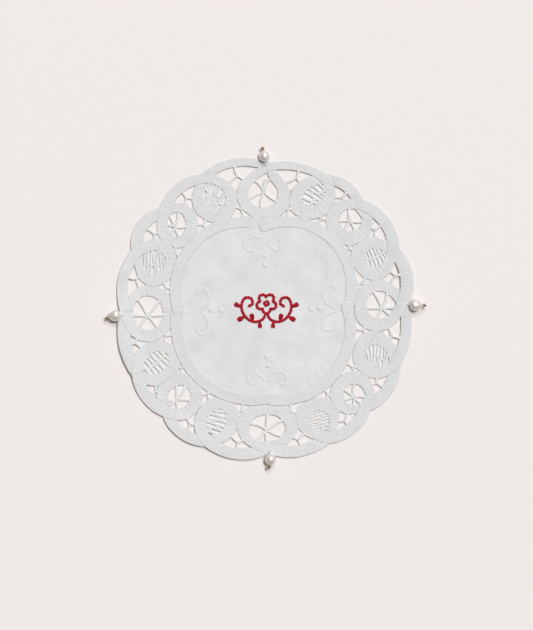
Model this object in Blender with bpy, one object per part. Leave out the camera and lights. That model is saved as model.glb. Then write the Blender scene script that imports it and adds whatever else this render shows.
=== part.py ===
"""Round doily of tape lace round a linen centre, with four pearls at its edge.

Metres, +Z up. The doily lies flat on z = 0 with its centre over the origin and one pearl
towards +Y. A bearing is in degrees clockwise from +Y, seen from above, and a reach is a
distance from the centre. The tables are in millimetres and degrees, a row for each piece.

One long tape makes the whole lace edge: it runs clockwise, bulging out in a scallop, and
between each two scallops it crosses itself and turns a loop that points at the centre.
A second tape frames the linen in four lobes. Threads worked with a needle fill the loops'
eyes, as wheels or ladders, and bridge the gaps that the tape leaves.
"""

import math
from collections import namedtuple

import bmesh
import bpy
from mathutils import Matrix, Vector
from mathutils.geometry import delaunay_2d_cdt, interpolate_bezier

MM = 0.001

TAPE_WIDTH = 6.0
TAPE_THICKNESS = 1.0
INNER_TAPE_THICKNESS = 1.3
CROSSING_RISE = 0.5      # how far the top stands up where the tape lies over itself
CROSSING_SPREAD = 3.5
LINEN_THICKNESS = 1.0
SEAM_GAP = 0.3           # between two pieces that touch

SPOKE_WIDTH = 1.0
RUNG_WIDTH = 0.8
BRIDGE_WIDTH = 1.0
JOIN_WIDTH = 3.0         # the stitching where two loops touch
WHEEL_KNOT_RADIUS = 1.1
BRIDGE_KNOT_RADIUS = 0.7
THREAD_BITE = 3.0        # how far a thread runs on into the tape that it is worked into
RUNG_BITE = 2.0
BRIDGE_INWARD = 0.9      # an inner bridge's arm is cut off where it meets the inner tape

SAME_POINT = 1e-4        # outline points nearer than this are one
NEARLY_STRAIGHT = 1.5    # degrees of turn that an outline can do without

# The tape's crossing at the top of each loop, and the loop's eye: the reach and bearing of
# its middle, its half sizes across and along the bearing, and its turn from that bearing.
Loop = namedtuple("Loop", "cross_deg cross_reach eye_deg eye_reach across along turn")
LOOPS = [
    Loop(1.2, 70.2, -1.0, 57.4, 7.4, 6.9, 12),
    Loop(25.0, 71.2, 23.0, 61.4, 4.8, 6.2, 18),
    Loop(42.0, 69.9, 44.2, 61.3, 5.5, 5.5, 0),
    Loop(66.0, 70.2, 65.6, 60.4, 4.9, 4.8, 0),
    Loop(87.6, 69.0, 88.4, 57.4, 6.8, 6.4, -8),
    Loop(113.3, 70.6, 112.8, 61.6, 5.4, 5.5, 0),
    Loop(134.5, 70.4, 134.2, 62.2, 5.2, 5.3, 0),
    Loop(154.4, 71.8, 154.0, 62.6, 4.8, 5.2, 0),
    Loop(178.8, 69.8, 179.0, 60.0, 9.0, 6.6, 0),
    Loop(203.4, 72.3, 203.0, 61.9, 4.7, 6.7, 0),
    Loop(223.2, 71.2, 224.0, 61.8, 5.3, 6.1, 0),
    Loop(242.8, 71.4, 243.2, 61.0, 4.8, 6.8, -12),
    Loop(268.6, 69.3, 267.6, 58.6, 8.5, 7.5, 0),
    Loop(293.5, 69.9, 292.5, 60.1, 5.4, 5.5, 0),
    Loop(313.6, 69.5, 313.7, 60.8, 4.9, 5.7, 0),
    Loop(334.5, 71.7, 334.5, 61.5, 4.9, 6.6, 0),
]

# The scallop after each loop: the reach of its outer edge, the width of its tape and how
# far that edge is off the table.
Scallop = namedtuple("Scallop", "reach width lift")
SCALLOPS = [
    Scallop(74.8, 4.4, 1.0),
    Scallop(76.0, 5.6, 0.9),
    Scallop(76.6, 5.6, 1.0),
    Scallop(76.0, 5.2, 1.3),
    Scallop(74.3, 5.2, 1.2),
    Scallop(76.6, 6.0, 0.4),
    Scallop(77.0, 6.0, 0.3),
    Scallop(76.3, 6.0, 0.3),
    Scallop(77.6, 6.2, 0.5),
    Scallop(78.3, 6.2, 0.6),
    Scallop(77.3, 6.2, 0.7),
    Scallop(75.3, 5.2, 0.7),
    Scallop(75.0, 5.3, 0.6),
    Scallop(76.7, 6.0, 0.3),
    Scallop(76.2, 5.5, 0.4),
    Scallop(76.5, 4.4, 1.4),
]

# The knot of the three-armed thread in the gap after each loop, outside the loops, where
# its arms hold the scallop, and inside them, where its arms hold the inner tape.
Bridge = namedtuple("Bridge", "outer_deg outer_reach inner_deg inner_reach")
BRIDGES = [
    Bridge(13.6, 67.0, 13.2, 50.3),
    Bridge(35.0, 67.6, 32.5, 52.4),
    Bridge(54.7, 67.6, 54.6, 51.3),
    Bridge(76.2, 67.2, 75.5, 50.2),
    Bridge(102.6, 64.8, 102.8, 50.4),
    Bridge(124.0, 67.0, 124.3, 53.3),
    Bridge(144.7, 69.0, 144.1, 53.7),
    Bridge(165.8, 67.8, 165.8, 53.6),
    Bridge(191.3, 68.6, 192.8, 52.6),
    Bridge(212.8, 69.2, 213.8, 51.6),
    Bridge(232.7, 68.6, 234.4, 51.1),
    Bridge(255.0, 67.2, 254.2, 51.4),
    Bridge(282.8, 65.8, 281.6, 50.6),
    Bridge(303.7, 66.6, 301.6, 52.6),
    Bridge(324.4, 67.6, 323.4, 51.6),
    Bridge(348.0, 67.5, 346.4, 51.0),
]

# The wheels, by the number of their loop: the knot's place and each spoke's bearing.
Wheel = namedtuple("Wheel", "loop knot_x knot_y spokes_deg")
WHEELS = [
    Wheel(0, -0.5, 58.0, (321, 15, 126, 191, 242)),
    Wheel(2, 42.5, 43.5, (357, 92, 156, 212, 268)),
    Wheel(4, 58.5, 0.0, (332, 18, 88, 130, 205, 270)),
    Wheel(6, 44.5, -44.5, (3, 92, 130, 187, 250, 305)),
    Wheel(8, 1.0, -61.0, (2, 58, 112, 180, 227, 290)),
    Wheel(10, -44.0, -46.0, (358, 32, 92, 172, 235, 268)),
    Wheel(12, -58.7, -4.0, (330, 38, 86, 142, 215, 272)),
    Wheel(14, -45.0, 40.5, (335, 12, 85, 155, 205, 285)),
]

# The ladders, by the number of their loop: the bearing of the rungs, and how many there are.
Ladder = namedtuple("Ladder", "loop rung_deg rungs")
LADDERS = [
    Ladder(1, 106, 3),
    Ladder(3, 160, 3),
    Ladder(5, 178, 3),
    Ladder(7, 76, 3),
    Ladder(9, 104, 3),
    Ladder(11, 134, 3),
    Ladder(13, 176, 3),
    Ladder(15, 38, 3),
]

# The inner tape's middle line: its reach at each inward corner, and half way to the next.
Lobe = namedtuple("Lobe", "corner_deg corner_reach middle_reach")
LOBES = [
    Lobe(0, 41.0, 47.5),
    Lobe(90, 40.9, 47.6),
    Lobe(180, 45.2, 47.9),
    Lobe(270, 43.6, 47.8),
]

# A freshwater pearl at each quarter of the edge, threaded outwards, and its end bead.
Pearl = namedtuple("Pearl", "name bearing reach bead_bearing")
PEARLS = [
    Pearl("north", -0.6, 76.65, -0.9),
    Pearl("east", 88.9, 75.7, 89.1),
    Pearl("south", 178.3, 76.6, 178.6),
    Pearl("west", 267.0, 75.7, 266.6),
]
PEARL_LENGTH = 6.2
PEARL_DIAMETER = 5.8
PEARL_TAPER = 0.06       # the outer end is this share narrower, and the inner end fuller
BEAD_DIAMETER = 1.6
BEAD_LENGTH = 1.3

SCALLOP_STATIONS = 3
LOOP_STATIONS_DEG = (38, 4, -32, -68, -112, -148, 176, 142)
STEPS_PER_STATION = 2
LOBE_STEPS = 12

COTTON = (0.73, 0.73, 0.745)
LINEN = (0.70, 0.70, 0.715)
PEARL_CREAM = (0.80, 0.72, 0.60)
BRONZE = (0.10, 0.055, 0.025)


# Plan geometry, in millimetres

def polar(bearing, reach):
    angle = math.radians(bearing)
    return Vector((reach * math.sin(angle), reach * math.cos(angle)))


def next_to(table, index):
    return table[(index + 1) % len(table)]


def arc_between(start, middle, end, count):
    """The points that part the arc from start to end through middle into count + 1."""
    a, b = start - middle, end - middle
    twice_area = 2 * (a.x * b.y - a.y * b.x)
    centre = middle + Vector((
        (b.y * a.length_squared - a.y * b.length_squared) / twice_area,
        (a.x * b.length_squared - b.x * a.length_squared) / twice_area,
    ))
    radius = (middle - centre).length
    top = math.atan2(middle.y - centre.y, middle.x - centre.x)

    def turn_from_top(point):
        angle = math.atan2(point.y - centre.y, point.x - centre.x) - top
        return math.remainder(angle, math.tau)

    first, last = turn_from_top(start), turn_from_top(end)
    for step in range(1, count + 1):
        angle = top + first + (last - first) * step / (count + 1)
        yield centre + radius * Vector((math.cos(angle), math.sin(angle)))


def eye_axes(loop):
    """The eye's middle, and its unit directions across and along."""
    along = polar(loop.eye_deg + loop.turn, 1)
    return polar(loop.eye_deg, loop.eye_reach), Vector((along.y, -along.x)), along


def eye_crossings(loop, point, bearing, grow=0.0):
    """How far along a bearing a line from point meets the eye's edge, grown outwards."""
    centre, across, along = eye_axes(loop)
    half = Vector((loop.across + grow, loop.along + grow))
    ray = polar(bearing, 1)
    offset = point - centre
    start = Vector((offset.dot(across) / half.x, offset.dot(along) / half.y))
    run = Vector((ray.dot(across) / half.x, ray.dot(along) / half.y))
    a, b, c = run.dot(run), start.dot(run), start.dot(start) - 1
    root = math.sqrt(max(b * b - a * c, 0))
    return (-b - root) / a, (-b + root) / a


def tape_stations():
    """(x, y, width) along the looped tape's middle line: each loop, then its scallop."""
    stations = []
    for index, loop in enumerate(LOOPS):
        scallop, following = SCALLOPS[index], next_to(LOOPS, index)
        crossing = polar(loop.cross_deg, loop.cross_reach)
        cross_width = (SCALLOPS[index - 1].width + scallop.width) / 2
        stations.append((*crossing, cross_width))
        centre, across, along = eye_axes(loop)
        for degrees in LOOP_STATIONS_DEG:
            angle = math.radians(degrees)
            half_across = loop.across + TAPE_WIDTH / 2
            half_along = loop.along + TAPE_WIDTH / 2
            point = (
                centre
                + across * half_across * math.cos(angle)
                + along * half_along * math.sin(angle)
            )
            stations.append((*point, TAPE_WIDTH))
        stations.append((*crossing, cross_width))
        next_crossing = polar(following.cross_deg, following.cross_reach)
        middle_deg = loop.cross_deg + ((following.cross_deg - loop.cross_deg) % 360) / 2
        middle = polar(middle_deg, scallop.reach - scallop.width / 2)
        for point in arc_between(crossing, middle, next_crossing, SCALLOP_STATIONS):
            stations.append((*point, scallop.width))
    return [Vector(station) for station in stations]


def smooth_loop(stations, steps):
    """A closed centripetal Catmull-Rom curve through the stations."""
    following = stations[1:] + stations[:1]
    spans = [math.sqrt((after - here).length) for here, after in zip(stations, following)]
    speeds = []
    for index, here in enumerate(stations):
        before, after = stations[index - 1], following[index]
        span_in, span_out = spans[index - 1], spans[index]
        speeds.append(
            (here - before) / span_in
            - (after - before) / (span_in + span_out)
            + (after - here) / span_out
        )
    curve = []
    for index, here in enumerate(stations):
        after, third = following[index], spans[index] / 3
        handle_out = here + speeds[index] * third
        handle_in = after - next_to(speeds, index) * third
        curve.extend(interpolate_bezier(here, handle_out, handle_in, after, steps + 1)[:-1])
    return curve


def lobe_stations():
    """The inner tape's middle line: an arc for each lobe, from corner to corner."""
    stations = []
    for index, lobe in enumerate(LOBES):
        following = next_to(LOBES, index)
        corner = polar(lobe.corner_deg, lobe.corner_reach)
        middle = polar(lobe.corner_deg + 45, lobe.middle_reach)
        end = polar(following.corner_deg, following.corner_reach)
        stations.append(Vector((*corner, TAPE_WIDTH)))
        for point in arc_between(corner, middle, end, LOBE_STEPS - 1):
            stations.append(Vector((*point, TAPE_WIDTH)))
    return stations


def tape_edges(stations, grow=0.0):
    """The outer and inner edge of a closed clockwise tape, mitred at each station."""
    outer, inner = [], []
    for index, station in enumerate(stations):
        before = (station - stations[index - 1]).xy.normalized()
        after = (next_to(stations, index) - station).xy.normalized()
        ahead = (before + after).normalized()
        half = (station.z / 2 + grow) / ahead.dot(after)
        left = Vector((-ahead.y, ahead.x)) * half
        outer.append(station.xy + left)
        inner.append(station.xy - left)
    return outer, inner


def quads_between(outer, inner):
    for index in range(len(outer)):
        yield [outer[index], inner[index], next_to(inner, index), next_to(outer, index)]


def bar(start, end, width):
    side = (end - start).normalized().orthogonal() * (width / 2)
    return [start + side, end + side, end - side, start - side]


def knot(centre, radius, sides=6):
    return [centre + polar(360 * side / sides, radius) for side in range(sides)]


def wheel_threads(wheel):
    loop = LOOPS[wheel.loop]
    centre = Vector((wheel.knot_x, wheel.knot_y))
    yield knot(centre, WHEEL_KNOT_RADIUS)
    for bearing in wheel.spokes_deg:
        _, length = eye_crossings(loop, centre, bearing, THREAD_BITE)
        yield bar(centre, centre + polar(bearing, length), SPOKE_WIDTH)


def ladder_threads(ladder):
    loop = LOOPS[ladder.loop]
    centre = eye_axes(loop)[0]
    near, far = eye_crossings(loop, centre, ladder.rung_deg + 90)
    for rung in range(1, ladder.rungs + 1):
        shift = near + (far - near) * rung / (ladder.rungs + 1)
        middle = centre + polar(ladder.rung_deg + 90, shift)
        start, end = eye_crossings(loop, middle, ladder.rung_deg)
        yield bar(
            middle + polar(ladder.rung_deg, start - RUNG_BITE),
            middle + polar(ladder.rung_deg, end + RUNG_BITE),
            RUNG_WIDTH,
        )


def bearing_to(start, end):
    run = end - start
    return math.degrees(math.atan2(run.x, run.y))


def bridge_threads(index):
    """The two three-armed threads in the gaps between a loop and the next one."""
    bridge, scallop = BRIDGES[index], SCALLOPS[index]
    pair = LOOPS[index], next_to(LOOPS, index)
    rim = scallop.reach - scallop.width / 2
    for bearing, reach, far_reach in (
        (bridge.outer_deg, bridge.outer_reach, rim),
        (bridge.inner_deg, bridge.inner_reach, BRIDGE_INWARD * bridge.inner_reach),
    ):
        centre = polar(bearing, reach)
        yield knot(centre, BRIDGE_KNOT_RADIUS)
        yield bar(centre, polar(bearing, far_reach), BRIDGE_WIDTH)
        for loop in pair:
            towards = bearing_to(centre, eye_axes(loop)[0])
            near, _ = eye_crossings(loop, centre, towards, THREAD_BITE)
            yield bar(centre, centre + polar(towards, near), BRIDGE_WIDTH)


def loop_join(index):
    """The stitched patch where a loop touches the next one."""
    loop, following = LOOPS[index], next_to(LOOPS, index)
    start, end = eye_axes(loop)[0], eye_axes(following)[0]
    ahead = bearing_to(start, end)
    _, leave = eye_crossings(loop, start, ahead, TAPE_WIDTH / 2)
    _, back = eye_crossings(following, end, ahead + 180, TAPE_WIDTH / 2)
    return bar(start + polar(ahead, leave), end + polar(ahead + 180, back), JOIN_WIDTH)


# Heights, in millimetres

def lift_at(point):
    """How far the lace is off the table: each scallop rises towards its outer edge."""
    bearing = math.degrees(math.atan2(point.x, point.y)) % 360
    for index, loop in enumerate(LOOPS):
        start = loop.cross_deg
        width = (next_to(LOOPS, index).cross_deg - start) % 360
        share = ((bearing - start) % 360) / width
        if share < 1:
            outwards = (point.length - loop.eye_reach) / (SCALLOPS[index].reach - loop.eye_reach)
            ramp = min(max(outwards, 0), 1) ** 2
            return SCALLOPS[index].lift * ramp * math.sin(math.pi * share) ** 2
    return 0.0


def fold_at(point, folds):
    """How far the top stands up near the places where a tape lies over itself."""
    nearest = min((point - fold).length for fold in folds)
    return CROSSING_RISE * math.exp(-((nearest / CROSSING_SPREAD) ** 2))


# Solids

def make_material(name, colour, roughness, metallic=0.0):
    material = bpy.data.materials.new(name)
    material.use_nodes = True
    shader = material.node_tree.nodes["Principled BSDF"]
    shader.inputs["Base Color"].default_value = (*colour, 1)
    shader.inputs["Roughness"].default_value = roughness
    shader.inputs["Metallic"].default_value = metallic
    return material


def add_object(name, bm, material, smooth=False):
    mesh = bpy.data.meshes.new(name)
    bmesh.ops.recalc_face_normals(bm, faces=bm.faces)
    bm.to_mesh(mesh)
    bm.free()
    mesh.materials.append(material)
    if smooth:
        mesh.shade_smooth()
    placed = bpy.data.objects.new(name, mesh)
    bpy.context.scene.collection.objects.link(placed)
    return placed


def anticlockwise(outline):
    area = sum(a.cross(b) for a, b in zip(outline, outline[1:] + outline[:1]))
    return outline if area > 0 else outline[::-1]


def flat_union(polygons, hollow=None):
    """A flat mesh of all that the polygons cover, less what the hollow outline covers."""
    outlines = list(polygons)
    if hollow:
        outlines.append(hollow)
    points, faces = [], []
    for outline in outlines:
        faces.append(list(range(len(points), len(points) + len(outline))))
        points.extend(anticlockwise(outline))
    inside_only = 1
    made_points, _, made_faces, _, _, sources = delaunay_2d_cdt(
        points, [], faces, inside_only, SAME_POINT
    )
    hollow_source = len(faces) - 1 if hollow else None
    bm = bmesh.new()
    corners = [bm.verts.new((point.x * MM, point.y * MM, 0)) for point in made_points]
    for face, source in zip(made_faces, sources):
        if source and hollow_source not in source:
            bm.faces.new([corners[corner] for corner in face])
    loose = [corner for corner in bm.verts if not corner.link_faces]
    bmesh.ops.delete(bm, geom=loose, context="VERTS")
    bmesh.ops.dissolve_limit(
        bm,
        angle_limit=math.radians(NEARLY_STRAIGHT),
        verts=bm.verts,
        edges=bm.edges,
    )
    bmesh.ops.triangulate(bm, faces=bm.faces)
    return bm


def thicken(bm, thickness, lift=None, rise=None):
    """Extrudes a flat mesh upwards, then lifts it all, and its top by the rise as well."""
    made = bmesh.ops.extrude_face_region(bm, geom=bm.faces[:])["geom"]
    top = {item for item in made if isinstance(item, bmesh.types.BMVert)}
    for corner in bm.verts:
        plan = corner.co.xy / MM
        height = thickness if corner in top else 0
        if lift:
            height += lift(plan)
        if rise and corner in top:
            height += rise(plan)
        corner.co.z = height * MM


def make_looped_tape(material, inner_tape_edge):
    stations = smooth_loop(tape_stations(), STEPS_PER_STATION)
    polygons = list(quads_between(*tape_edges(stations)))
    for wheel in WHEELS:
        polygons.extend(wheel_threads(wheel))
    for ladder in LADDERS:
        polygons.extend(ladder_threads(ladder))
    for index in range(len(LOOPS)):
        polygons.extend(bridge_threads(index))
        polygons.append(loop_join(index))
    crossings = [polar(loop.cross_deg, loop.cross_reach) for loop in LOOPS]
    bm = flat_union(polygons, hollow=inner_tape_edge)
    thicken(bm, TAPE_THICKNESS, lift=lift_at, rise=lambda plan: fold_at(plan, crossings))
    return add_object("looped_tape", bm, material)


def make_inner_tape(material, stations):
    corners = [polar(lobe.corner_deg, lobe.corner_reach) for lobe in LOBES]
    bm = flat_union(quads_between(*tape_edges(stations)))
    thicken(bm, INNER_TAPE_THICKNESS, rise=lambda plan: fold_at(plan, corners))
    return add_object("inner_tape", bm, material)


def make_linen_centre(material, outline):
    bm = flat_union([outline])
    thicken(bm, LINEN_THICKNESS)
    return add_object("linen_centre", bm, material)


def make_drop(name, length, diameter, taper, segments, rings, material):
    """A round body on its local Z axis, which it is threaded along."""
    bm = bmesh.new()
    bmesh.ops.create_uvsphere(bm, u_segments=segments, v_segments=rings, radius=0.5)
    for corner in bm.verts:
        girth = diameter * (1 - 2 * taper * corner.co.z)
        corner.co.x *= girth * MM
        corner.co.y *= girth * MM
        corner.co.z *= length * MM
    return add_object(name, bm, material, smooth=True)


def lay_outwards(placed, bearing, reach, height):
    """Lays a drop level, its local Z axis pointing out at the bearing."""
    place = polar(bearing, reach)
    placed.matrix_world = (
        Matrix.Translation((place.x * MM, place.y * MM, height * MM))
        @ Matrix.Rotation(math.radians(-bearing), 4, "Z")
        @ Matrix.Rotation(math.radians(-90), 4, "X")
    )


def make_pearls(pearl_material, bead_material):
    height = PEARL_DIAMETER / 2
    for pearl in PEARLS:
        body = make_drop(
            f"pearl_{pearl.name}", PEARL_LENGTH, PEARL_DIAMETER, PEARL_TAPER, 20, 12, pearl_material
        )
        lay_outwards(body, pearl.bearing, pearl.reach, height)
        bead = make_drop(
            f"seed_bead_{pearl.name}", BEAD_LENGTH, BEAD_DIAMETER, 0, 12, 8, bead_material
        )
        bead_reach = pearl.reach + (PEARL_LENGTH + BEAD_LENGTH) / 2 + SEAM_GAP
        lay_outwards(bead, pearl.bead_bearing, bead_reach, height)


def main():
    for old in list(bpy.data.objects):
        bpy.data.objects.remove(old)
    cotton = make_material("white cotton tape", COTTON, 0.9)
    linen = make_material("white linen", LINEN, 0.85)
    pearl = make_material("cream pearl", PEARL_CREAM, 0.25)
    bronze = make_material("bronze glass", BRONZE, 0.3, 0.6)
    lobes = lobe_stations()
    clear_outside, clear_inside = tape_edges(lobes, SEAM_GAP)
    make_linen_centre(linen, clear_inside)
    make_inner_tape(cotton, lobes)
    make_looped_tape(cotton, clear_outside)
    make_pearls(pearl, bronze)


main()
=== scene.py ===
"""The looks of a tape lace doily: woven and needle-made cotton, linen, stitches and pearls.

The frame is in metres, +Z up. The tables and the shapes below are in millimetres and degrees.
A bearing is clockwise from +Y, seen from above, and a reach is a distance from the centre.
One long tape runs clockwise round the doily. It bulges out in a scallop, and between each
two scallops it crosses itself and turns a loop that points at the centre.
"""

import math
from collections import namedtuple

import bpy
import numpy as np
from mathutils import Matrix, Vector
from mathutils.kdtree import KDTree


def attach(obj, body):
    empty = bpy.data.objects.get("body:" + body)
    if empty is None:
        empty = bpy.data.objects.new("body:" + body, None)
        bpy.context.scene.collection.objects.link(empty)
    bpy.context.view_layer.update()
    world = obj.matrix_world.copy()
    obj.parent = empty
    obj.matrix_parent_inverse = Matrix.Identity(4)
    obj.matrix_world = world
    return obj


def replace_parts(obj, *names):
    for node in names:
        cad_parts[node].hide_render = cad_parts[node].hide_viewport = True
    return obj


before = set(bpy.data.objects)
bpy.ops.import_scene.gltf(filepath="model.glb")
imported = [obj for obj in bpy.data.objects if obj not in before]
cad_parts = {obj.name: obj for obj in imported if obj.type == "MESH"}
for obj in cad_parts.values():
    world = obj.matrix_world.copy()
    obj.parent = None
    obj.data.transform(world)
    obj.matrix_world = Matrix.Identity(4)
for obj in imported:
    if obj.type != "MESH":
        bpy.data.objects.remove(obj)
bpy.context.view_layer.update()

random = np.random.default_rng(16)

MM = 0.001

# Plan of the lace

LOOP_WIDTH = 6.4
OUTER_WIDTH = 0.7  # how much narrower it is at its outer end
FRAME_WIDTH = 5.6

# The tape's crossing at the top of each loop, and the loop's eye: the reach and bearing of
# its middle, its half sizes across and along the bearing, and its turn from that bearing.
# At the crossing the tape that arrives lies on top of the one that leaves, or under it.
Loop = namedtuple("Loop", "cross_deg cross_reach eye_deg eye_reach across along turn arrives")
LOOPS = [Loop(*row) for row in (
    (1.2, 70.2, -1.0, 57.4, 7.4, 6.9, 12, "under"),
    (25.0, 71.2, 23.5, 61.0, 4.2, 6.3, 30, "on top"),
    (42.0, 69.9, 44.2, 61.3, 5.5, 5.5, 0, "under"),
    (66.0, 70.2, 65.3, 60.2, 4.9, 4.7, 0, "on top"),
    (87.6, 69.0, 88.4, 57.4, 6.8, 6.4, -8, "on top"),
    (113.3, 70.6, 113.3, 61.2, 5.0, 6.3, 22, "on top"),
    (134.5, 70.4, 134.2, 62.2, 5.2, 5.3, 0, "under"),
    (154.4, 71.8, 154.0, 62.6, 4.6, 5.2, 0, "on top"),
    (178.8, 69.8, 179.0, 60.0, 9.0, 6.6, 0, "on top"),
    (203.4, 72.3, 203.0, 61.9, 4.7, 6.7, 0, "on top"),
    (223.2, 71.2, 224.0, 61.8, 5.3, 6.1, 0, "under"),
    (242.8, 71.4, 243.2, 61.0, 4.8, 6.8, -12, "on top"),
    (268.6, 69.3, 267.6, 58.6, 8.5, 7.5, 0, "under"),
    (293.5, 69.9, 292.4, 60.0, 6.0, 5.4, 0, "on top"),
    (313.6, 69.5, 313.5, 60.7, 4.5, 6.1, 46, "under"),
    (334.5, 71.7, 335.2, 60.8, 5.5, 6.9, 0, "on top"),
)]

# The scallop after each loop: the reach of its outer edge, the width of its tape, and how far
# that edge is off the table where the scallop starts, at the crossing, and at its middle.
Scallop = namedtuple("Scallop", "reach width start_rise rise")
SCALLOPS = [Scallop(*row) for row in (
    (74.8, 4.4, 0.7, 0.3),
    (76.0, 5.6, 0.25, 0.6),
    (76.6, 6.0, 0.4, 0.45),
    (76.0, 6.7, 0.6, 1.5),
    (74.3, 5.6, 1.3, 0.5),
    (76.6, 6.0, 0.3, 0.25),
    (77.0, 6.0, 0.2, 0.2),
    (76.3, 6.0, 0.3, 0.5),
    (77.2, 5.9, 0.8, 0.8),
    (77.8, 5.8, 1.05, 1.0),
    (76.8, 6.1, 1.0, 0.7),
    (75.3, 6.6, 1.7, 1.8),
    (75.0, 5.3, 1.75, 0.85),
    (76.7, 6.0, 0.6, 0.1),
    (76.2, 5.5, 0.05, 0.1),
    (76.5, 4.4, 0.2, 0.4),
)]

# The gaps after each loop, outside and inside the ring of loops: the knot of the three-armed
# thread there, and how much slimmer the loops' tape is beside it (wider if less than 0).
Bridge = namedtuple("Bridge", "outer_deg outer_reach outer_trim inner_deg inner_reach inner_trim")
BRIDGES = [Bridge(*row) for row in (
    (13.6, 67.0, 0.4, 13.2, 50.3, -0.8),
    (35.0, 67.6, 0.8, 32.5, 52.4, -0.6),
    (54.7, 67.6, 0.3, 54.6, 51.3, -1.0),
    (76.2, 67.2, 0.3, 75.5, 50.2, -0.3),
    (102.6, 64.8, 0.6, 102.8, 50.4, -1.0),
    (124.0, 67.0, 1.0, 124.3, 53.3, -0.6),
    (144.7, 69.0, 1.5, 144.1, 53.7, -0.7),
    (165.8, 67.8, 0.9, 165.8, 53.6, -1.3),
    (191.3, 68.6, 1.0, 192.8, 52.6, -0.1),
    (212.8, 69.2, -0.1, 213.8, 51.6, 0.2),
    (232.7, 68.6, 0.2, 234.4, 51.1, 0.1),
    (255.0, 67.2, 0.0, 254.2, 51.4, 0.7),
    (282.8, 65.8, 1.6, 281.6, 50.6, 0.2),
    (303.7, 66.6, 0.4, 301.6, 52.6, 0.5),
    (324.4, 67.6, 1.3, 323.4, 51.6, 0.4),
    (348.0, 67.5, 1.2, 346.4, 51.0, 0.5),
)]

# The wheels, by the number of their loop: the knot's place and each spoke's bearing.
Wheel = namedtuple("Wheel", "loop knot_x knot_y spokes_deg")
WHEELS = [Wheel(*row) for row in (
    (0, -0.5, 58.0, (321, 8, 22, 126, 191, 242)),
    (2, 42.5, 43.5, (357, 92, 156, 212, 268)),
    (4, 58.5, 0.0, (332, 18, 88, 130, 205, 270)),
    (6, 44.5, -44.5, (3, 92, 130, 187, 250, 305)),
    (8, 1.0, -61.0, (2, 58, 112, 180, 227, 290)),
    (10, -44.0, -46.0, (358, 32, 92, 172, 235, 268)),
    (12, -58.7, -4.0, (330, 38, 86, 142, 215, 272)),
    (14, -45.0, 40.5, (335, 12, 85, 155, 205, 285)),
)]

# The ladders, by the number of their loop: the rungs' bearing, number and width, where the
# first lies over the eye, how many degrees they fan out from the first to the last, how far
# they sway, and whether a thread links their middles.
Ladder = namedtuple("Ladder", "loop rung_deg rungs width first fan sway linked")
LADDERS = [Ladder(*row) for row in (
    (1, 122, 6, 1.65, -0.04, -30, 0.25, False),
    (3, 158, 6, 1.6, -0.06, 8, 0.12, True),
    (5, 182, 7, 1.3, 0.07, -18, 0.3, False),
    (7, 76, 7, 1.2, 0.07, 10, 0.25, False),
    (9, 105, 6, 1.85, 0.07, 20, 0.3, False),
    (11, 137, 6, 1.8, 0.07, 6, 0.15, True),
    (13, 178, 7, 1.35, 0.05, 14, 0.25, False),
    (15, 36, 7, 1.4, 0.05, 8, 0.3, False),
)]

# The inner tape's middle line: its reach at each inward corner, and half way to the next.
Lobe = namedtuple("Lobe", "corner_deg corner_reach middle_reach")
LOBES = [Lobe(*row) for row in (
    (0, 41.3, 47.9),
    (90, 41.2, 47.9),
    (180, 45.3, 48.1),
    (270, 43.7, 48.0),
)]

# A freshwater pearl at each quarter of the edge, threaded outwards, with the bearing of its
# end bead, its length and diameter, and how much slimmer it is towards the bead.
Pearl = namedtuple("Pearl", "name bearing reach bead_bearing length diameter taper")
PEARLS = [Pearl(*row) for row in (
    ("north", -0.2, 75.7, -0.9, 5.8, 5.4, 0.03),
    ("east", 88.9, 75.4, 89.0, 6.6, 5.8, 0.26),
    ("south", 177.9, 75.7, 178.6, 5.9, 5.6, 0.1),
    ("west", 267.1, 74.9, 266.3, 6.3, 6.0, 0.12),
)]
BEAD_LENGTH = 1.3
BEAD_DIAMETER = 1.6
BEAD_HOLE = 0.3  # its radius
BEAD_GAP = 0.2
BEAD_SQUARENESS = 0.75  # 1 is a round section, and less is nearer to a square one

# Where the middle lines are set out: between two crossings, and round each eye
SCALLOP_STATIONS = 3
LOOP_STATIONS_DEG = (52, 16, -20, -55, -90, -125, -160, 164, 128)
LEAVING_STATION = 1 + len(LOOP_STATIONS_DEG)
LOOPS_OVERLAP = 0.25  # how far two loops that meet may lie over each other
CROSSING_REACH = 17  # how far along the tape from a crossing it may meet itself
FRAME_REACH = 58  # how far out the inner tape's neighbourhood goes
LOBE_OVERLAP = 14  # how much of an inner lobe's end may lie over the next one

# Woven tape: its section from the outer edge, at 1, over its top to the inner edge and back
# underneath, with heights to its thickness
SECTION_ACROSS = np.array([
    1, 0.95, 0.86, 0.72, 0.45, 0.15, -0.15, -0.45, -0.72, -0.86, -0.95, -1, -0.88, -0.4, 0.4, 0.88,
])
SECTION_HEIGHTS = np.array([0.5, 0.82, 1.02, 0.97, 1, 1, 1, 1, 0.97, 1.02, 0.82, 0.5, 0, 0, 0, 0])
TAPE_THICKNESS = 0.38
PRESSED = 0.45  # the share of its thickness that a tape keeps where tapes overlap
LAYER_GAP = 0.03  # between two layers of tape
TAPE_STEP = 0.27
RIB_PITCH = 1.0
RIB_HEIGHT = 0.05
RIB_TOOTH = 0.1  # how far each rib stands out at the tape's edges
GATHER_PITCH = 2.8
GATHER_HEIGHT = 0.1
GATHER_RADIUS = 8.5  # a tape bent to this radius is fully gathered at its inner edge
WOBBLE = 0.15  # how far a tape strays sideways
FRAME_THICKNESS = 0.28
FRAME_PRESSED = 0.8
SEWN_IN = 0.11  # how deep the inner tape's edge is drawn into the linen

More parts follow.
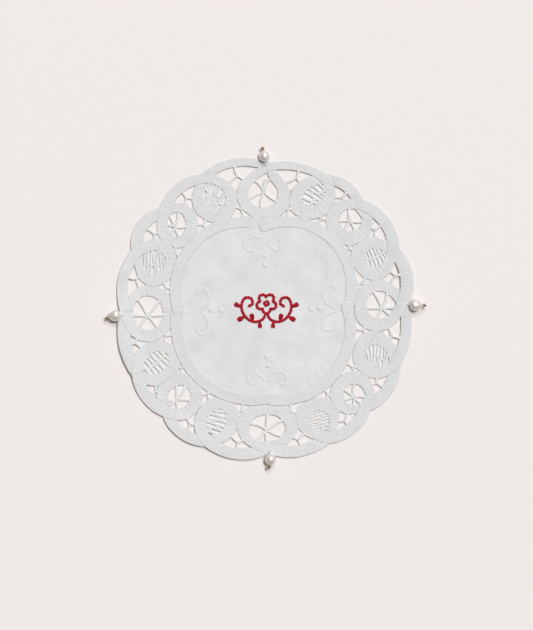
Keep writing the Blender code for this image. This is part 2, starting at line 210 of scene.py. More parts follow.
# How the cloth lies: waves, as (height, pitch), and its clearance on average over the table
LACE_CLEARANCE = 0.17
LACE_WAVES = (0.1, 13), (0.04, 5.5)
TAPE_WAVES = (0.04, 2.3), (0.03, 1.1)
RIM_DROOP = 0.6  # how far the scallops' outer edges turn down again
LINEN_CLEARANCE = 0.2
LINEN_WAVES = (0.1, 29), (0.06, 17), (0.03, 8)
LINEN_THICKNESS = 0.35
LINEN_RINGS = 90
LINEN_SECTORS = 360
PUCKER_HEIGHT = 0.09  # along the seam of the inner tape
PUCKER_PITCH = 2.6

# Needle-made threads, whose heights are over the bottom of the tapes that they join
SPOKE_WIDTH = 1.5
BRIDGE_WIDTH = 1.35
PLY_PITCH = 2.4
PLY_RADIUS = 0.31  # to the thread's width
PLY_SIDES = 7
FLATNESS = 0.24  # the height of a thread's plies to their width
RUNG_FLATNESS = 0.15
BOW = 0.09  # how far a spoke or arm bows aside, to its length, at the most
THREAD_STEP = 0.22
THREAD_HEIGHT = 0.25
RUNG_HEIGHT = 0.15
LAST_RUNG = 0.93  # where it lies over the eye
THREAD_ARCH = 0.12
BITE_HEIGHT = 0.16
BITE = 0.9  # how far a thread runs on over the tape that it is worked into
KNOT_RISE = 0.22  # over the threads
KNOT_RADIUS = 0.26

GRAIN = random.uniform(-1, 1, (64, 64))


# Curves and surfaces

def polar(bearing, reach):
    angle = np.radians(bearing)
    return np.stack([reach * np.sin(angle), reach * np.cos(angle)], axis=-1)


def bearing_of(plan):
    return np.degrees(np.arctan2(plan[..., 0], plan[..., 1])) % 360


def raised(plan, height):
    """The points of the plan at their heights, in space."""
    height = np.broadcast_to(height, plan.shape[:-1])
    return np.concatenate([plan, height[..., None]], axis=-1)


def unit(vectors):
    return vectors / np.linalg.norm(vectors, axis=-1, keepdims=True)


def smooth_step(low, high, values):
    share = np.clip((values - low) / (high - low), 0, 1)
    return share * share * (3 - 2 * share)


def next_to(table, index):
    return table[(index + 1) % len(table)]


def turns_of(count):
    """Angles in even steps round a full turn."""
    return np.linspace(0, math.tau, count, endpoint=False)


def arc_between(start, middle, end, count):
    """The points that part the arc from start to end through middle into count + 1."""
    a, b = start - middle, end - middle
    towards = to_the_left(b * a.dot(a) - a * b.dot(b))
    centre = middle + towards / (2 * a.dot(to_the_left(b)))
    top = bearing_of(middle - centre)
    turns = [math.remainder(bearing_of(point - centre) - top, 360) for point in (start, end)]
    bearings = top + np.linspace(*turns, count + 2)[1:-1]
    return centre + polar(bearings, np.linalg.norm(middle - centre))


def lengths_along(points):
    steps = np.linalg.norm(np.diff(points, axis=0), axis=1)
    return np.concatenate([[0], np.cumsum(steps)])


def from_nearer_end(run):
    return np.minimum(run, run[-1] - run)


def spaced(points, step):
    """The same line with its points about a step apart."""
    along = lengths_along(points)
    places = np.linspace(0, along[-1], max(2, round(along[-1] / step) + 1))
    return np.stack([np.interp(places, along, column) for column in points.T], axis=1)


def smooth_line(stations, step, closed=False):
    """A centripetal Catmull-Rom curve in even steps, and the row of each station in it."""
    stations = np.asarray(stations, float)
    if closed:
        ends = stations[-1:], stations[:2]
    else:
        ends = 2 * stations[:1] - stations[1:2], 2 * stations[-1:] - stations[-2:-1]
    points = np.concatenate([ends[0], stations, ends[1]])
    spans = np.sqrt(np.linalg.norm(np.diff(points, axis=0), axis=1))[:, None]
    before, here, after = points[:-2], points[1:-1], points[2:]
    speeds = (
        (here - before) / spans[:-1]
        - (after - before) / (spans[:-1] + spans[1:])
        + (after - here) / spans[1:]
    )
    share = np.linspace(0, 1, 16, endpoint=False)[None, :, None]
    eased = smooth_step(0, 1, share)
    leaving, arriving = (
        (speed * spans[1:-1])[:, None] for speed in (speeds[:-1], speeds[1:])
    )
    curve = (
        here[:-1, None] * (1 - eased) + here[1:, None] * eased
        + share * (1 - share) * ((1 - share) * leaving - share * arriving)
    ).reshape(-1, stations.shape[1])
    curve = np.concatenate([curve, here[-1:]])
    along = lengths_along(curve)
    even = spaced(curve, step)
    rows = along[::16] / along[-1] * (len(even) - 1)
    return (even[:-1] if closed else even), rows


def headings(line, closed):
    """Unit steps ahead along a line in plan."""
    if closed:
        return unit(np.roll(line, -1, axis=0) - np.roll(line, 1, axis=0))
    return unit(np.gradient(line, axis=0))


def to_the_left(ahead):
    return np.stack([-ahead[..., 1], ahead[..., 0]], axis=-1)


def wander(places, length, spacing):
    """Smooth random values from -1 to 1 along a closed line, a new one for each spacing."""
    count = max(4, round(length / spacing))
    values = random.uniform(-1, 1, count)
    turn = np.asarray(places) / length * count
    index = np.floor(turn).astype(int)
    share = smooth_step(0, 1, turn - index)
    return values[index % count] * (1 - share) + values[(index + 1) % count] * share


def smooth_noise(plan, pitch):
    """Smooth random values from -1 to 1 over the plan, a new one at each pitch."""
    place = plan / pitch + 3.7 * pitch
    cell = np.floor(place).astype(int)
    share_x, share_y = np.moveaxis(smooth_step(0, 1, place - cell), -1, 0)
    x, y = np.moveaxis(cell % len(GRAIN), -1, 0)
    next_x, next_y = (x + 1) % len(GRAIN), (y + 1) % len(GRAIN)
    near = GRAIN[x, y] * (1 - share_x) + GRAIN[next_x, y] * share_x
    far = GRAIN[x, next_y] * (1 - share_x) + GRAIN[next_x, next_y] * share_x
    return near * (1 - share_y) + far * share_y


def unevenness(plan, waves):
    """How far a surface is from flat over the plan, from the (height, pitch) of its waves."""
    return sum(height * smooth_noise(plan, pitch) for height, pitch in waves)


def distance_to(line, plan):
    """How far each point of the plan is from a line, given by close points."""
    tree = KDTree(len(line))
    for index, (x, y) in enumerate(line[:, :2]):
        tree.insert((x, y, 0), index)
    tree.balance()
    found = [tree.find((x, y, 0))[2] for x, y in plan.reshape(-1, 2)]
    return np.array(found).reshape(plan.shape[:-1])


def over_tape(plan, line, width, margin=1.0):
    """1 over a tape with that middle line, falling to 0 past its edge."""
    return 1 - smooth_step(width / 2 - 0.3, width / 2 + margin, distance_to(line, plan))


# The lace's plan

def eye_axes(loop):
    """The eye's middle, and its unit directions across and along."""
    along = polar(loop.eye_deg + loop.turn, 1)
    return polar(loop.eye_deg, loop.eye_reach), np.array([along[1], -along[0]]), along


def eye_crossings(loop, point, bearing, grow=0.0):
    """How far along a bearing a line from point meets the eye's edge, grown outwards."""
    centre, across, along = eye_axes(loop)
    half = np.array([loop.across + grow, loop.along + grow])
    ray, offset = polar(bearing, 1), point - centre
    start = np.array([offset.dot(across), offset.dot(along)]) / half
    run = np.array([ray.dot(across), ray.dot(along)]) / half
    a, b, c = run.dot(run), start.dot(run), start.dot(start) - 1
    root = math.sqrt(max(b * b - a * c, 0))
    return (-b - root) / a, (-b + root) / a


def tape_stations():
    """(x, y, width) along the looped tape's middle line: each loop, then its scallop."""
    stations = []
    for index, loop in enumerate(LOOPS):
        scallop, following = SCALLOPS[index], next_to(LOOPS, index)
        crossing = polar(loop.cross_deg, loop.cross_reach)
        at_crossing = (*crossing, (SCALLOPS[index - 1].width + scallop.width) / 2)
        stations.append(at_crossing)
        centre, across, along = eye_axes(loop)
        for degrees in LOOP_STATIONS_DEG:
            gap = BRIDGES[index if abs(degrees) < 90 else index - 1]
            trim = gap.outer_trim if degrees > 0 else gap.inner_trim
            angle = math.radians(degrees)
            width = LOOP_WIDTH - OUTER_WIDTH * max(math.sin(angle), 0)
            width -= trim * abs(math.sin(2 * angle))
            angle += math.radians(loop.turn)
            sideways = across * (loop.across + width / 2) * math.cos(angle)
            lengthways = along * (loop.along + width / 2) * math.sin(angle)
            stations.append((*(centre + sideways + lengthways), width))
        stations.append(at_crossing)
        next_crossing = polar(following.cross_deg, following.cross_reach)
        middle_deg = loop.cross_deg + (following.cross_deg - loop.cross_deg) % 360 / 2
        middle = polar(middle_deg, scallop.reach - scallop.width / 2)
        for point in arc_between(crossing, middle, next_crossing, SCALLOP_STATIONS):
            stations.append((*point, scallop.width))
    return stations


def meeting_bearing(loop, following):
    """The bearing of the line along which a loop meets the next one."""
    leave = loop.eye_deg + math.degrees(math.atan(loop.across / loop.eye_reach))
    arrive = following.eye_deg - math.degrees(math.atan(following.across / following.eye_reach))
    return leave + (arrive - leave) % 360 / 2


def loops_side_by_side(line, station_rows):
    """The line of the looped tape, narrowed wherever a loop would lie over its neighbour."""
    line = line.copy()
    left = to_the_left(headings(line[:, :2], True))
    for index, loop in enumerate(LOOPS):
        first, last = (round(row) for row in station_rows[index, [1, LEAVING_STATION - 1]])
        for bearing, side in (
            (meeting_bearing(LOOPS[index - 1], loop), 1),
            (meeting_bearing(loop, next_to(LOOPS, index)), -1),
        ):
            width = line[first:last, 2]
            sideways = left[first:last] * width[:, None] / 2
            inner = line[first:last, :2] - sideways
            outer = line[first:last, :2] + sideways
            own_side = side * polar(bearing + 90, 1)
            room, gap = inner @ own_side, outer @ own_side
            cut = np.maximum((np.hypot(gap, 0.3) - gap) / 2 - LOOPS_OVERLAP, 0)
            share = 1 - cut / np.maximum(room - gap, 1)
            line[first:last, :2] = inner + sideways * share[:, None]
            line[first:last, 2] = width * share
    return line


def lobe_line(index, step, run_on):
    """An arc of the inner tape's middle line, run on past both its corners."""
    lobe, following = LOBES[index], next_to(LOBES, index)
    corner = polar(lobe.corner_deg, lobe.corner_reach)
    end = polar(following.corner_deg, following.corner_reach)
    middle = polar(lobe.corner_deg + 45, lobe.middle_reach)
    arc = np.concatenate([[corner], arc_between(corner, middle, end, 200), [end]])
    before = corner - unit(arc[1] - arc[0]) * run_on
    after = end + unit(arc[-1] - arc[-2]) * run_on
    return spaced(np.concatenate([[before], arc, [after]]), step)


def lift_at(plan):
    """How far the lace is off the table, unevenly.

    Each scallop rises outwards to a crest near its edge, and its rim turns down a little.
    """
    reaches, _, start_rises, rises = np.array(SCALLOPS).T
    crossings, eye_reaches = np.array([(loop.cross_deg, loop.eye_reach) for loop in LOOPS]).T
    bearing = bearing_of(plan)
    index = np.searchsorted(crossings, bearing, side="right") - 1
    span = (np.roll(crossings, -1) - crossings) % 360
    half_spans = 2 * ((bearing - crossings[index]) % 360) / span[index]
    rising, falling = smooth_step(0, 1, half_spans), smooth_step(1, 2, half_spans)
    edge_rise = (
        start_rises[index] * (1 - rising) + rises[index] * (rising - falling)
        + np.roll(start_rises, -1)[index] * falling
    )
    eye_reach = eye_reaches[index]
    outwards = (np.linalg.norm(plan, axis=-1) - eye_reach) / (reaches[index] - eye_reach)
    droop = RIM_DROOP * smooth_step(0.6, 1.1, outwards)
    crest = (edge_rise + droop) * smooth_step(0.1, 0.85, outwards)
    return LACE_CLEARANCE + unevenness(plan, LACE_WAVES) + crest - droop


def linen_height(plan):
    """The top of the linen, which lies in slight waves."""
    return LINEN_THICKNESS + LINEN_CLEARANCE + unevenness(plan, LINEN_WAVES)


# Meshes

def link(name, data):
    made = bpy.data.objects.new(name, data)
    bpy.context.scene.collection.objects.link(made)
    return made


class Build:
    """Points and faces gathered for one piece, with a tape's (across, along) thread places."""

    def __init__(self):
        self.points, self.faces, self.threads, self.count = [], [], [], 0

    def tube(self, rows, closed=False):
        """Joins rows of points, each round the piece's section, into a closed body."""
        count, around = rows.shape[:2]
        index = self.count + np.arange(count * around).reshape(count, around)
        here, ahead = (index, np.roll(index, -1, axis=0)) if closed else (index[:-1], index[1:])
        beside, ahead_beside = np.roll(here, -1, axis=1), np.roll(ahead, -1, axis=1)
        faces = np.stack([here, beside, ahead_beside, ahead], axis=-1)
        self.faces += faces.reshape(-1, 4).tolist()
        if not closed:
            self.faces += [index[0, ::-1].tolist(), index[-1].tolist()]
        self.points.append(rows.reshape(-1, 3))
        self.count += count * around
        return self

    def piece(self, name, material, slot):
        mesh = bpy.data.meshes.new(name)
        mesh.from_pydata((np.concatenate(self.points) * MM).tolist(), [], self.faces)
        if self.threads:
            vectors = raised(np.concatenate(self.threads), 0).astype(np.float32)
            attribute = mesh.attributes.new("threads", "FLOAT_VECTOR", "POINT")
            attribute.data.foreach_set("vector", vectors.ravel())
        mesh.shade_smooth()
        mesh.materials.append(material)
        made = link(name, mesh)
        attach(made, "root")
        return made


def section_axes(line):
    """The sideways and upward axes of the sections along a line in space."""
    ahead = unit(np.gradient(line, axis=0))
    side = unit(np.cross(ahead, (0, 0, 1)))
    return side, np.cross(side, ahead)


def strand(build, line, radii, sides=6, flatness=1.0):
    """A thread along a line, round or pressed flat."""
    side, up = section_axes(line)
    angles = turns_of(sides)[None, :, None]
    radii = np.broadcast_to(radii, len(line))[:, None, None]
    section = side[:, None] * np.cos(angles) - flatness * up[:, None] * np.sin(angles)
    build.tube(line[:, None] + radii * section)


def twisted(build, line, width, flatness=FLATNESS):
    """A flattish thread of two twisted plies along a line, as wide as width, slim at its ends."""
    side, up = section_axes(line)
    run = lengths_along(line)
    turn = (math.tau * run / PLY_PITCH + random.uniform(0, math.tau))[:, None]
    width = width * (0.4 + 0.6 * smooth_step(0, 0.7, from_nearer_end(run)))[:, None]
    for angle in (turn, turn + math.pi):
        centre = line + width / 5 * (side * np.cos(angle) + flatness * up * np.sin(angle))
        strand(build, centre, width[:, 0] * PLY_RADIUS, PLY_SIDES, flatness)


# Woven tape

def curvature(ahead, step):
    """How sharply the line bends clockwise, evened out over a few millimetres."""
    turn = -(to_the_left(ahead) * np.roll(ahead, -1, axis=0)).sum(axis=1)
    padded = np.concatenate([turn[-7:], turn, turn[:7]])
    return np.convolve(padded, np.ones(15) / 15, mode="valid") / step


def weave_tape(build, line, closed, base):
    """Adds a woven tape as rows of points round it.

    line is (x, y, width), and base gives for a plan the height of what lies under the tape
    and the tape's thickness.
    """
    step = np.linalg.norm(line[1, :2] - line[0, :2])
    ahead = headings(line[:, :2], closed)
    left = to_the_left(ahead)
    along = np.arange(len(line)) * step
    total = len(line) * step
    across = SECTION_ACROSS
    bend = np.clip(curvature(ahead, step) * GATHER_RADIUS, 0.25, 1.2)
    gather = np.cos(math.tau * along / GATHER_PITCH + 4 * wander(along, total, 9))
    gather = (bend * gather * (0.55 + 0.45 * wander(along, total, 5)))[:, None]
    rib = np.cos(math.tau * along / RIB_PITCH + 0.8 * wander(along, total, 9))
    rib = (rib * (0.75 + 0.25 * wander(along, total, 4)))[:, None]

    from_middle = across * line[:, 2:] / 2
    sideways = (
        from_middle + np.sign(across) * (np.abs(across) > 0.94) * RIB_TOOTH * rib
        - (across < -0.9) * GATHER_HEIGHT * gather + WOBBLE * wander(along, total, 6)[:, None]
    )
    plan = line[:, None, :2] + left[:, None] * sideways[..., None]
    under, thickness = base(plan)
    crumple = GATHER_HEIGHT * gather * smooth_step(0.7, -1, across) + unevenness(plan, TAPE_WAVES)
    relief = (SECTION_HEIGHTS > 0) * (RIB_HEIGHT * rib + crumple)
    height = under + thickness * SECTION_HEIGHTS + relief
    build.tube(raised(plan, height), closed)
    threads = np.stack(np.broadcast_arrays(from_middle, along[:, None]), axis=-1)
    build.threads.append(threads.reshape(-1, 2))


def make_lace_tape(line, station_rows, lobes, material):
    """The one long tape, which passes over or under itself at each crossing."""
    stretch = np.arange(-round(CROSSING_REACH / TAPE_STEP), round(CROSSING_REACH / TAPE_STEP) + 1)

    def base(plan):
        over = np.zeros(plan.shape[:-1])
        under = over_tape(plan, np.concatenate(lobes), FRAME_WIDTH)
        for index, loop in enumerate(LOOPS):
            crossing_rows = station_rows[index, [0, LEAVING_STATION]]
            upper, lower = ((stretch + round(row)) % len(line) for row in crossing_rows)
            if loop.arrives == "under":
                upper, lower = lower, upper
            width = line[lower, 2].mean()
            over[upper] = np.maximum(over[upper], over_tape(plan[upper], line[lower], width))
            under[lower] = np.maximum(under[lower], over_tape(plan[lower], line[upper], width))
        thickness = TAPE_THICKNESS * (1 - (1 - PRESSED) * np.maximum(over, under))
        return lift_at(plan) + over * (PRESSED * TAPE_THICKNESS + LAYER_GAP), thickness

    build = Build()
    weave_tape(build, line, True, base)
    return build.piece("looped_lace_tape", material, "lace_tape")


def frame_base(plan, close_lace):
    """The height of what the inner tape lies on: linen inwards, and the lace outwards."""
    past_seam = np.linalg.norm(plan, axis=-1) - seam_reach(bearing_of(plan))
    outwards = smooth_step(-2.6, 2.6, past_seam)
    layer = 0.15 + 0.1 * over_tape(plan, close_lace, LOOP_WIDTH, 1.6)
    return (1 - outwards) * (linen_height(plan) - SEWN_IN) + outwards * (lift_at(plan) + layer)


def make_frame_tape(lobes, close_lace, material):
    """The inner tape: four lobes, each starting on the end of the one before it."""
    build = Build()
    overlap = round(LOBE_OVERLAP / TAPE_STEP)
    for index, lobe in enumerate(lobes):
        end_of_last, start_of_next = lobes[index - 1][-overlap:], next_to(lobes, index)[:overlap]

        def base(plan):
            over = over_tape(plan, end_of_last, FRAME_WIDTH)
            under = over_tape(plan, start_of_next, FRAME_WIDTH)
            thickness = FRAME_THICKNESS * (1 - (1 - FRAME_PRESSED) * np.maximum(over, under))
            lifted = over * (FRAME_PRESSED * FRAME_THICKNESS + LAYER_GAP)
            return frame_base(plan, close_lace) + lifted, thickness

        from_end = from_nearer_end(np.arange(len(lobe)) * TAPE_STEP)
        width = FRAME_WIDTH * np.sqrt(1 - 0.5 * (1 - np.clip(from_end / 0.8, 0, 1)) ** 2)
        weave_tape(build, np.column_stack([lobe, width]), False, base)
    return build.piece("frame_tape", material, "lace_tape")


def seam_reach(bearing):
    """The reach of the inner tape's middle line at a bearing, where the linen ends."""
    points = np.concatenate([lobe_line(index, 1, 0) for index in range(len(LOBES))])
    bearings = bearing_of(points)
    order = np.argsort(bearings)
    reaches = np.linalg.norm(points, axis=1)
    return np.interp(np.asarray(bearing) % 360, bearings[order], reaches[order], period=360)


# Linen

def make_linen(material):
    """A thin closed sheet in rings, whose cut edge lies under the inner tape."""
    bearings = np.linspace(0, 360, LINEN_SECTORS, endpoint=False)
    edge = seam_reach(bearings)
    shares = np.linspace(0, 1, LINEN_RINGS + 1)[1:, None]
    plan = polar(bearings, edge * shares)
    pull = PUCKER_HEIGHT * np.exp(-((edge * (1 - shares) - 4) / 4) ** 2)
    arc = np.radians(bearings) * edge.mean()
    pucker = pull * wander(arc, math.tau * edge.mean(), PUCKER_PITCH)
    top = raised(plan, linen_height(plan) + pucker)
    under = top - (0, 0, LINEN_THICKNESS)
    return Build().tube(np.concatenate([top, under[::-1]])).piece("linen", material, "linen")


# Needle-made threads


def thread_through(points, start_bites=True, end_bites=True, height=THREAD_HEIGHT):
    """A line through points of the plan, dipping into the tapes at its ends."""
    plan = smooth_line(points, THREAD_STEP)[0]
    run = lengths_along(plan)
    height = height + THREAD_ARCH * np.sin(math.pi * run / run[-1])
    for bites, from_end in ((start_bites, run), (end_bites, run[-1] - run)):
        if bites:
            height = height + 0.08 * np.exp(-((from_end - 0.9) / 0.5) ** 2)
            height = BITE_HEIGHT + (height - BITE_HEIGHT) * smooth_step(0, 0.7, from_end)
    return raised(plan, lift_at(plan) + height)


def add_arm(build, knot, end, width):
    """A thread from a knot to a tape, which isn't quite straight."""
    aside = to_the_left(end - knot) * random.uniform(-BOW, BOW)
    line = thread_through([knot, (knot + end) / 2 + aside, end], start_bites=False)
    twisted(build, line, width)


def add_knot(build, centre, reach, turns, spokes):
    """A flat coil of thread that weaves over and under the threads that meet at a point."""
    angle = np.linspace(0, math.tau * turns, round(36 * turns))
    plan = centre + polar(np.degrees(angle), np.linspace(0.25, reach, len(angle)))
    weaving = 0.1 * np.cos(angle * (spokes + 0.5) / 2)
    height = lift_at(plan) + THREAD_HEIGHT + KNOT_RISE + weaving
    strand(build, raised(plan, height), KNOT_RADIUS, flatness=FLATNESS)


def add_wheel(build, wheel):
    knot = np.array([wheel.knot_x, wheel.knot_y])
    for bearing in wheel.spokes_deg:
        _, length = eye_crossings(LOOPS[wheel.loop], knot, bearing, BITE)
        add_arm(build, knot, knot + polar(bearing, length), SPOKE_WIDTH)
    add_knot(build, knot, 0.95, 2.2, len(wheel.spokes_deg))


def add_ladder(build, ladder):
    """Threads side by side over an eye, linked along their middles or tied in pairs."""
    loop = LOOPS[ladder.loop]
    centre = eye_axes(loop)[0]
    near, far = eye_crossings(loop, centre, ladder.rung_deg + 90)
    rungs = []
    for share in np.linspace(ladder.first, LAST_RUNG, ladder.rungs):
        bearing = ladder.rung_deg + ladder.fan * (share - 0.5) + random.uniform(-4, 4)
        middle = centre + polar(ladder.rung_deg + 90, near + (far - near) * share)
        reaches = np.linspace(*eye_crossings(loop, middle, bearing, BITE), 4)
        sways = ladder.sway * random.uniform(-1, 1, 4)
        points = middle + polar(bearing, reaches) + polar(bearing + 90, sways)
        line = thread_through(points, height=RUNG_HEIGHT)
        twisted(build, line, ladder.width * random.uniform(0.85, 1.15), RUNG_FLATNESS)
        rungs.append(line[:, :2])
    if ladder.linked:
        ties = [[rung[len(rung) // 2] for rung in rungs]]
    else:
        ties = []
        for rung, following in zip(rungs[:-1], rungs[1:]):
            share = random.uniform(0.3, 0.7)
            ties.append([line[round(share * len(line))] for line in (rung, following)])
    for tie in ties:
        line = thread_through(tie, False, False, RUNG_HEIGHT + 0.08)
        twisted(build, line, ladder.width * 0.9, RUNG_FLATNESS)


def add_bridges(build, index):
    """The two three-armed threads in the gaps between a loop and the next one."""
    bridge, scallop = BRIDGES[index], SCALLOPS[index]
    far_reaches = (
        scallop.reach - scallop.width + BITE,
        seam_reach(bridge.inner_deg) + FRAME_WIDTH / 2 - BITE,
    )
    for (bearing, reach, trim), far_reach in zip((bridge[:3], bridge[3:]), far_reaches):
        centre = polar(bearing, reach)
        ends = [polar(bearing, far_reach)]
        for loop in (LOOPS[index], next_to(LOOPS, index)):
            towards = bearing_of(eye_axes(loop)[0] - centre)
            near, _ = eye_crossings(loop, centre, towards, LOOP_WIDTH - trim - BITE)
            ends.append(centre + polar(towards, near))
        for end in ends:
            if np.linalg.norm(end - centre) > BITE:
                add_arm(build, centre, end, BRIDGE_WIDTH)
        add_knot(build, centre, 0.6, 1.6, len(ends))


def make_needle_threads(material):
    build = Build()
    for wheel in WHEELS:
        add_wheel(build, wheel)
    for ladder in LADDERS:
        add_ladder(build, ladder)
    for index in range(len(LOOPS)):
        add_bridges(build, index)
    return build.piece("needle_threads", material, "lace_tape")


# Sewing stitches

EDGE_PITCHES = (-1, 1.5), (1, 1.3)  # the side of the inner tape, and how close they are
MEETING_SHIFTS = np.arange(-3, 4) * 0.8  # the places of those that join two loops


def stitch(build, start, end, rise, radius=0.16):
    """A short thread from one point in space to another, arched and sunk at its ends."""
    share = np.linspace(0, 1, 7)
    from_middle = np.abs(2 * share - 1)
    line = start + (end - start) * share[:, None]
    line[:, 2] += rise * np.sin(math.pi * share) - 0.12 * from_middle**3
    strand(build, line, radius * (1 - 0.35 * from_middle**2), sides=5)


def make_stitches(lobes, close_lace, material):
    """Stitches over both edges of the inner tape, and between each two loops that meet."""
    build = Build()
    for lobe in lobes:
        ahead = headings(lobe, False)
        left = to_the_left(ahead)
        for side, pitch in EDGE_PITCHES:
            ground = lobe + side * left * (FRAME_WIDTH / 2 + 0.35)
            hold = lobe + side * left * (FRAME_WIDTH / 2 - 0.75) + ahead * 0.4
            low = lift_at(ground) + TAPE_THICKNESS if side == 1 else linen_height(ground)
            starts = raised(ground, low)
            ends = raised(hold, frame_base(hold, close_lace) + FRAME_THICKNESS)
            held = (distance_to(close_lace, ground) < LOOP_WIDTH / 2 + 0.2) | (side < 0)
            for row in range(8, len(lobe) - 8, round(pitch / TAPE_STEP)):
                if held[row]:
                    stitch(build, starts[row], ends[row], 0.1)
    for index, loop in enumerate(LOOPS):
        following = next_to(LOOPS, index)
        start, end = eye_axes(loop)[0], eye_axes(following)[0]
        bearing = bearing_of(end - start)
        _, leave = eye_crossings(loop, start, bearing, LOOP_WIDTH)
        _, back = eye_crossings(following, end, bearing + 180, LOOP_WIDTH)
        meeting = (start + end + polar(bearing, leave - back)) / 2
        for shift in MEETING_SHIFTS:
            place = meeting + polar(bearing + 90, shift)
            ends = place + polar(bearing, np.array([-0.7, 0.7]))
            stitch(build, *raised(ends, lift_at(place) + TAPE_THICKNESS), 0.08)
    return build.piece("sewing_stitches", material, "lace_tape")


# Embroidery

# White padded scrolls, as points along each from the dots outwards, and the dots: a place and
# a diameter. They are in four groups, one towards each corner of the inner tape.
SCROLLS = [
    [(-1.5, 35), (-5.5, 35.5), (-9.5, 34.0), (-10.2, 31.2), (-9, 29), (-6.5, 28.2), (-4.6, 29.4)],
    [(0.5, 33.5), (3.5, 30), (6, 28.9), (8, 31), (7.8, 33.6), (6, 34.6)],
    [(1, -37), (-1, -35), (-3.5, -33.2), (-5.5, -32.5), (-7.5, -33.2), (-8.3, -35), (-8, -37),
     (-6.5, -38), (-4.5, -37)],
    [(1.5, -38), (4, -33), (7, -31.8), (10, -33), (11, -35.5), (10.5, -37.7), (8.6, -38.2),
     (7.2, -36.9)],
    [(-32.5, -0.5), (-29, 2), (-28, 5.5), (-29, 8.5), (-31.5, 9.8), (-33.5, 8.5), (-34, 6.5)],
    [(-32.5, -1.5), (-29.5, -4.5), (-28.3, -7.5), (-28.5, -11), (-31, -13.2), (-33.5, -12),
     (-34, -10)],
    [(36, -0.5), (33, 1), (30.5, 3), (29, 6), (29.2, 9), (31, 10.8), (33, 11.5), (35, 10),
     (35.3, 8.4)],
    [(36, -1.5), (30, -4), (29, -7), (29, -10), (30.5, -11), (33, -11), (35.5, -9.5),
     (35.5, -6.5)],
]
DOTS = [
    (-0.2, 26.3, 2.2), (0, 21.5, 2.8), (1, -24.2, 2.9), (1.8, -29, 2.5),
    (-27, -1, 2.8), (-22, -1, 2.9), (23, -0.5, 2.6), (27.3, 0, 2.8),
]
SCROLL_WIDTH = 1.45
SCROLL_HEIGHT = 0.2
DOT_HEIGHT = 0.45
SATIN_PITCH = 0.42
SUNK = 0.05  # how far the padding's edges are sunk into the linen


def add_scroll(build, stations):
    """A padded ridge with satin stitches straight across it."""
    line = smooth_line(stations, SATIN_PITCH / 3.5)[0]
    run = lengths_along(line)
    left = to_the_left(headings(line, False))
    taper = 0.35 + 0.65 * np.sqrt(smooth_step(0, 2.2, from_nearer_end(run)))
    knob = 0.35 * np.exp(-((run[-1] - run - 1.0) / 0.9) ** 2)
    angles = np.linspace(0, math.pi, 9)
    thread = np.cos(math.tau * run / SATIN_PITCH)
    width = SCROLL_WIDTH * (taper + knob) * (1 + 0.05 * thread)
    height = SCROLL_HEIGHT * (taper + knob) * (1 + 0.10 * thread)
    plan = line[:, None] + left[:, None] * (width[:, None] / 2 * np.cos(angles))[..., None]
    ridge = height[:, None] * np.sin(angles) ** 0.8
    build.tube(raised(plan, linen_height(plan) + ridge - SUNK))


def add_dot(build, x, y, diameter):
    """A padded dot with satin stitches side by side over it."""
    share = np.linspace(1, 0.04, 12)[:, None]
    offset = polar(np.degrees(turns_of(48)), share * diameter / 2)
    thread = np.cos(math.tau * offset[..., 0] / SATIN_PITCH)
    dome = DOT_HEIGHT * (1 - share**2.6) ** 0.6 * (1 + 0.07 * thread)
    plan = offset + (x, y)
    build.tube(raised(plan, linen_height(plan) + dome - SUNK))


def make_white_embroidery(material):
    build = Build()
    for stations in SCROLLS:
        add_scroll(build, stations)
    for x, y, diameter in DOTS:
        add_dot(build, x, y, diameter)
    return build.piece("white_embroidery", material, "lace_tape")


# Red sprig: a five-petalled flower between two curled stems with leaves
SPRIG_PLACE = np.array([0.75, -0.3])
FLOWER_PLACE = np.array([0, 2.6])
PETALS = 5
STEM = [(0.3, -2.4), (1.8, -5.2), (5.2, -6.6), (9.0, -5.4), (11.8, -2.0), (12.4, 2.2), (10.6, 5.4),
        (7.6, 5.0), (7.0, 2.4), (8.8, 1.2)]
LEAVES = [((3.4, -6.2), (3.2, -10.0)), ((6.6, -6.4), (7.6, -2.4)), ((10.6, -3.8), (14.6, -6.0)),
          ((12.5, 0.6), (16.2, 2.6))]
LEAF_FATNESS = 0.27
STITCH_LENGTH = 2.5
STITCH_SPACING = 1.45
STITCH_SLANT = 1.05
STITCH_RADIUS = 0.56
SATIN_RADIUS = 0.27


def satin_leaf(build, base, tip):
    """A leaf filled with slanted stitches from its midrib out to its edges."""
    length = np.linalg.norm(tip - base)
    ahead = (tip - base) / length
    for share in np.arange(0.02, 0.86, 0.4 / length):
        half = length * LEAF_FATNESS * math.sin(math.pi * share**0.8)
        rib = base + ahead * length * share
        start = raised(rib, linen_height(rib) + 0.3)
        for side in (-1, 1):
            edge = rib + ahead * (0.3 + half * 0.7) + side * to_the_left(ahead) * half
            stitch(build, start, raised(edge, linen_height(edge) + 0.12), 0.08, SATIN_RADIUS)


def stem_stitch(build, line):
    """Overlapping slanted stitches along a line, like a thin rope."""
    line = spaced(line, 0.1)
    run = lengths_along(line)
    line_and_left = np.column_stack([line, to_the_left(headings(line, False))])
    share = np.linspace(0, 1, 9)
    arch = np.sin(math.pi * share)
    for start in np.arange(0, run[-1] - STITCH_LENGTH * 0.4, STITCH_SPACING):
        place = np.clip(start + share * STITCH_LENGTH, 0, run[-1])
        x, y, *left = (np.interp(place, run, column) for column in line_and_left.T)
        slant = (0.5 - share) * STITCH_SLANT
        plan = np.stack([x + left[0] * slant, y + left[1] * slant], axis=1)
        if np.linalg.norm(plan[-1] - plan[0]) > 0.4:
            height = linen_height(plan) + 0.32 * arch**0.7 - 0.02
            radius = STITCH_RADIUS * (0.45 + 0.55 * arch**0.5)
            strand(build, raised(plan, height), radius, sides=8)


